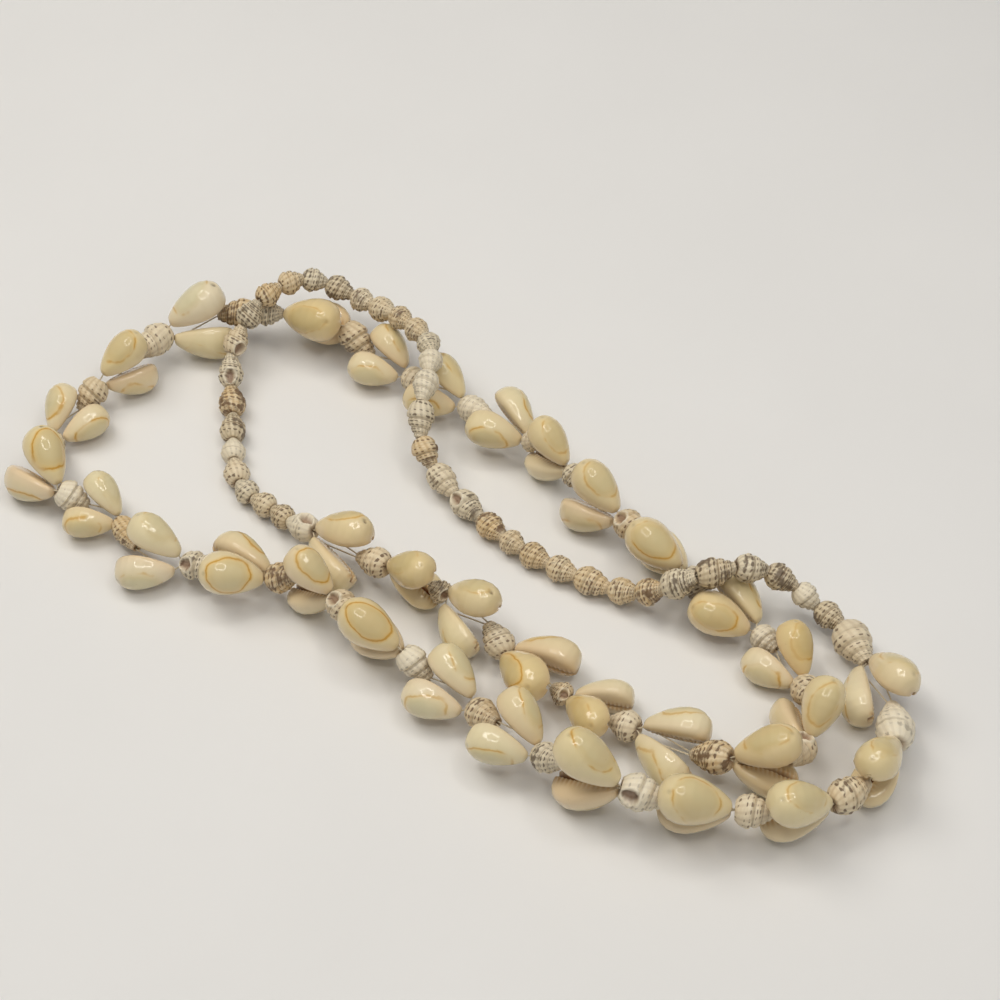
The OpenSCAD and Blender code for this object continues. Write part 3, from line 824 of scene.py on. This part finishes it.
def build_whelks(name, shells, looks, material):
    """The whelks of one CAD node, in two pieces so that neither holds too many triangles."""
    half = len(shells) // 2
    for k, group in enumerate((range(half), range(half, len(shells)))):
        parts = [whelk(shells[i], whelk_looks(looks[i])) for i in group]
        ob = joined_mesh(f"{name}_whelks_{k + 1}", parts, material)
        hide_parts(f"{name}_shells")


def build_spacers(material, mouths):
    """Each pair but the turning one has a whelk's spire in its mouth. One whelk is left for it."""
    left = read_whelks("spacer_shells")
    shells = {}
    for number, mouth in mouths.items():
        if number != TURN:
            shells[number] = nearest(left, mouth)
            left.remove(shells[number])
    shells[TURN] = left[0]
    build_whelks("spacer", [shells[n] for n in sorted(shells)], SPACER_LOOKS, material)


def build_back(material, first):
    """The closing string, whose first whelk starts at the mouth of the last pair."""
    build_whelks("back", chained(read_whelks("back_shells"), first), BACK_LOOKS, material)


# Studio

LOOK_AT = Vector((14, 20.5, 0)) * MM
CAMERA = Vector((14, -396.9, 497.4)) * MM
RING_SIDES = 48


def aim(ob, place):
    """Puts a lamp or the camera in its place and turns it to the middle of the picture."""
    ob.location = place
    ob.rotation_euler = (LOOK_AT - place).to_track_quat("-Z", "Y").to_euler()


def area_light(name, place, size, watts, colour):
    data = bpy.data.lights.new(name, "AREA")
    data.energy, data.size, data.color = watts, size, colour
    ob = add_object(name, data)
    ob.visible_glossy = False  # only the ring lamp is mirrored by the shells
    aim(ob, place)


def ring_light(place, outer, inner, strength):
    """A ring-shaped lamp, which the glossy backs mirror as small rings."""
    angles = np.linspace(0, 2 * math.pi, RING_SIDES, endpoint=False)
    points = [(r * math.cos(a), r * math.sin(a), 0) for a in angles for r in (inner, outer)]
    around = len(points)
    faces = [(i, i + 1, (i + 3) % around, (i + 2) % around) for i in range(0, around, 2)]
    mesh = bpy.data.meshes.new("ring_lamp")
    mesh.from_pydata(points, [], faces)
    material = bpy.data.materials.new("lamp")
    material.use_nodes = True
    shader = material.node_tree.nodes["Principled BSDF"]
    shader.inputs["Emission Color"].default_value = (1, 0.97, 0.92, 1)
    shader.inputs["Emission Strength"].default_value = strength
    mesh.materials.append(material)
    ob = add_object("ring_lamp", mesh)
    aim(ob, place)


def studio():
    """A pale floor, soft light from both sides and the ring lamp."""
    m = Nodes("floor")
    colour = m.mix(m.noise(14, 3, 0.5), rgb(226, 224, 220), rgb(232, 230, 226))
    m.link(colour, m.shader.inputs["Base Color"])
    m.shader.inputs["Roughness"].default_value = 0.7
    bpy.ops.mesh.primitive_plane_add(size=8, location=(0, 0, -0.0002))
    floor = bpy.context.object
    floor.name = "floor"
    floor.data.materials.append(m.material)

    world = bpy.data.worlds.new("studio")
    bpy.context.scene.world = world
    world.use_nodes = True
    background = world.node_tree.nodes["Background"]
    background.inputs["Color"].default_value = (0.93, 0.95, 1.0, 1)
    background.inputs["Strength"].default_value = 0.24
    area_light("key", Vector((-0.45, 0.25, 0.85)), size=0.5, watts=3.4, colour=(1, 0.97, 0.92))
    area_light("fill", Vector((0.6, -0.4, 0.6)), size=0.6, watts=1.0, colour=(0.95, 0.97, 1))
    ring_light(Vector((0.02, -0.06, 0.80)), outer=0.31, inner=0.235, strength=8.0)


def camera():
    data = bpy.data.cameras.new("camera")
    data.sensor_width, data.lens = 36, 90
    data.clip_start, data.clip_end = 0.01, 20
    ob = add_object("camera", data)
    aim(ob, CAMERA)
    bpy.context.scene.camera = ob


COWRIE = cowrie_material()
WHELK = whelk_material()
MOUTHS = build_cowries(COWRIE)
build_spacers(WHELK, MOUTHS)
build_back(WHELK, MOUTHS[PAIRS])
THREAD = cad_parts["thread"]
THREAD.data.materials.clear()
THREAD.data.materials.append(thread_material())
studio()
camera()
bpy.context.scene.view_settings.view_transform = "Standard"
